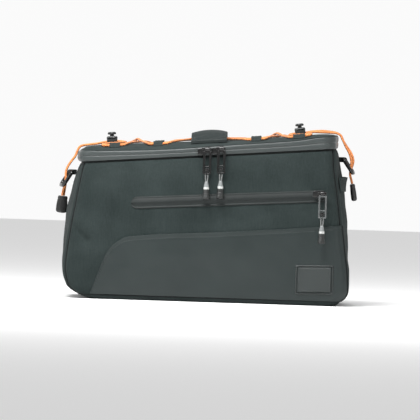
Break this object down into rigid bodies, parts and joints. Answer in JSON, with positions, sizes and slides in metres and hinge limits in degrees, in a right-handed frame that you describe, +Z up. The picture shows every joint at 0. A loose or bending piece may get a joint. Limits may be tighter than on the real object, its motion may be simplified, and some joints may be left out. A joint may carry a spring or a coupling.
{
  "type": "bicycle trunk bag",
  "caption": "Wedge-shaped padded rack bag with a zipped lid, front pocket, carry handle and elastic laced over the lid.",
  "frame": {"origin": "centre of the base's flat underside, midway between the front and back faces", "axes": "+X along the bag to its tall end, +Y from the zipped front to the back, +Z up from the base"},
  "size_m": [0.38, 0.2189, 0.2274],
  "materials": {
    "woven_fabric": "coarse woven synthetic, matt",
    "coated_fabric": "smooth coated cloth, soft sheen",
    "zip_coating": "smooth film over zip tape, satin",
    "black_webbing": "flat woven webbing, matt",
    "rubber": "moulded, matt",
    "black_metal": "black coating, gloss",
    "black_plastic": "moulded, satin",
    "orange_elastic": "braided elastic, matt"
  },
  "bodies": {
    "bag": {"back_panel": "woven_fabric", "back_sleeve_1": "black_webbing", "back_sleeve_2": "black_webbing", "back_sleeve_3": "black_webbing", "back_sleeve_4": "black_webbing", "base_tray": "woven_fabric", "elastic_back": "orange_elastic", "elastic_front": "orange_elastic", "end_flap": "woven_fabric", "front_panel": "woven_fabric", "front_sleeve_1": "black_webbing", "front_sleeve_2": "black_webbing", "front_sleeve_3": "black_webbing", "front_sleeve_4": "black_webbing", "handle": "woven_fabric", "left_grip": "rubber", "left_gusset": "woven_fabric", "left_lock_body": "black_plastic", "left_ring": "black_metal", "left_tab": "black_webbing", "lid_hinge": "woven_fabric", "lid_top": "woven_fabric", "lower_front_panel": "coated_fabric", "pocket_slider": "black_metal", "pocket_zip": "zip_coating", "right_grip": "rubber", "right_gusset": "woven_fabric", "right_lock_body": "black_plastic", "right_ring": "black_metal", "right_tab": "black_webbing", "rim_seam": "black_webbing", "rubber_patch": "rubber", "zip_band": "zip_coating", "zip_left_slider": "black_metal", "zip_right_slider": "black_metal"},
    "zip_left_pull": {"zip_left_puller": "black_metal", "zip_left_pull_grip": "rubber"},
    "zip_right_pull": {"zip_right_puller": "black_metal", "zip_right_pull_grip": "rubber"},
    "pocket_pull": {"pocket_puller": "black_metal", "pocket_pull_grip": "rubber"},
    "left_button": {"left_lock_button": "black_plastic"},
    "right_button": {"right_lock_button": "black_plastic"}
  },
  "joints": [
    {"name": "zip_left_pull_hinge", "type": "hinge", "parent": "bag", "child": "zip_left_pull", "pos_m": [-0.003, -0.10088, 0.19137], "axis": [-1, 0, 0], "range_deg": [0, 155]},
    {"name": "zip_right_pull_hinge", "type": "hinge", "parent": "bag", "child": "zip_right_pull", "pos_m": [0.0146, -0.10088, 0.19283], "axis": [-1, 0, 0], "range_deg": [0, 155]},
    {"name": "pocket_pull_hinge", "type": "hinge", "parent": "bag", "child": "pocket_pull", "pos_m": [0.1428, -0.10619, 0.14076], "axis": [-1, 0, 0], "range_deg": [0, 155]},
    {"name": "left_button_press", "type": "slide", "parent": "bag", "child": "left_button", "axis": [0.0963, 0, -0.9954], "range_m": [0, 0.0018], "stiffness_N_per_m": 800},
    {"name": "right_button_press", "type": "slide", "parent": "bag", "child": "right_button", "axis": [0.1285, 0, -0.9917], "range_m": [0, 0.0018], "stiffness_N_per_m": 800}
  ]
}
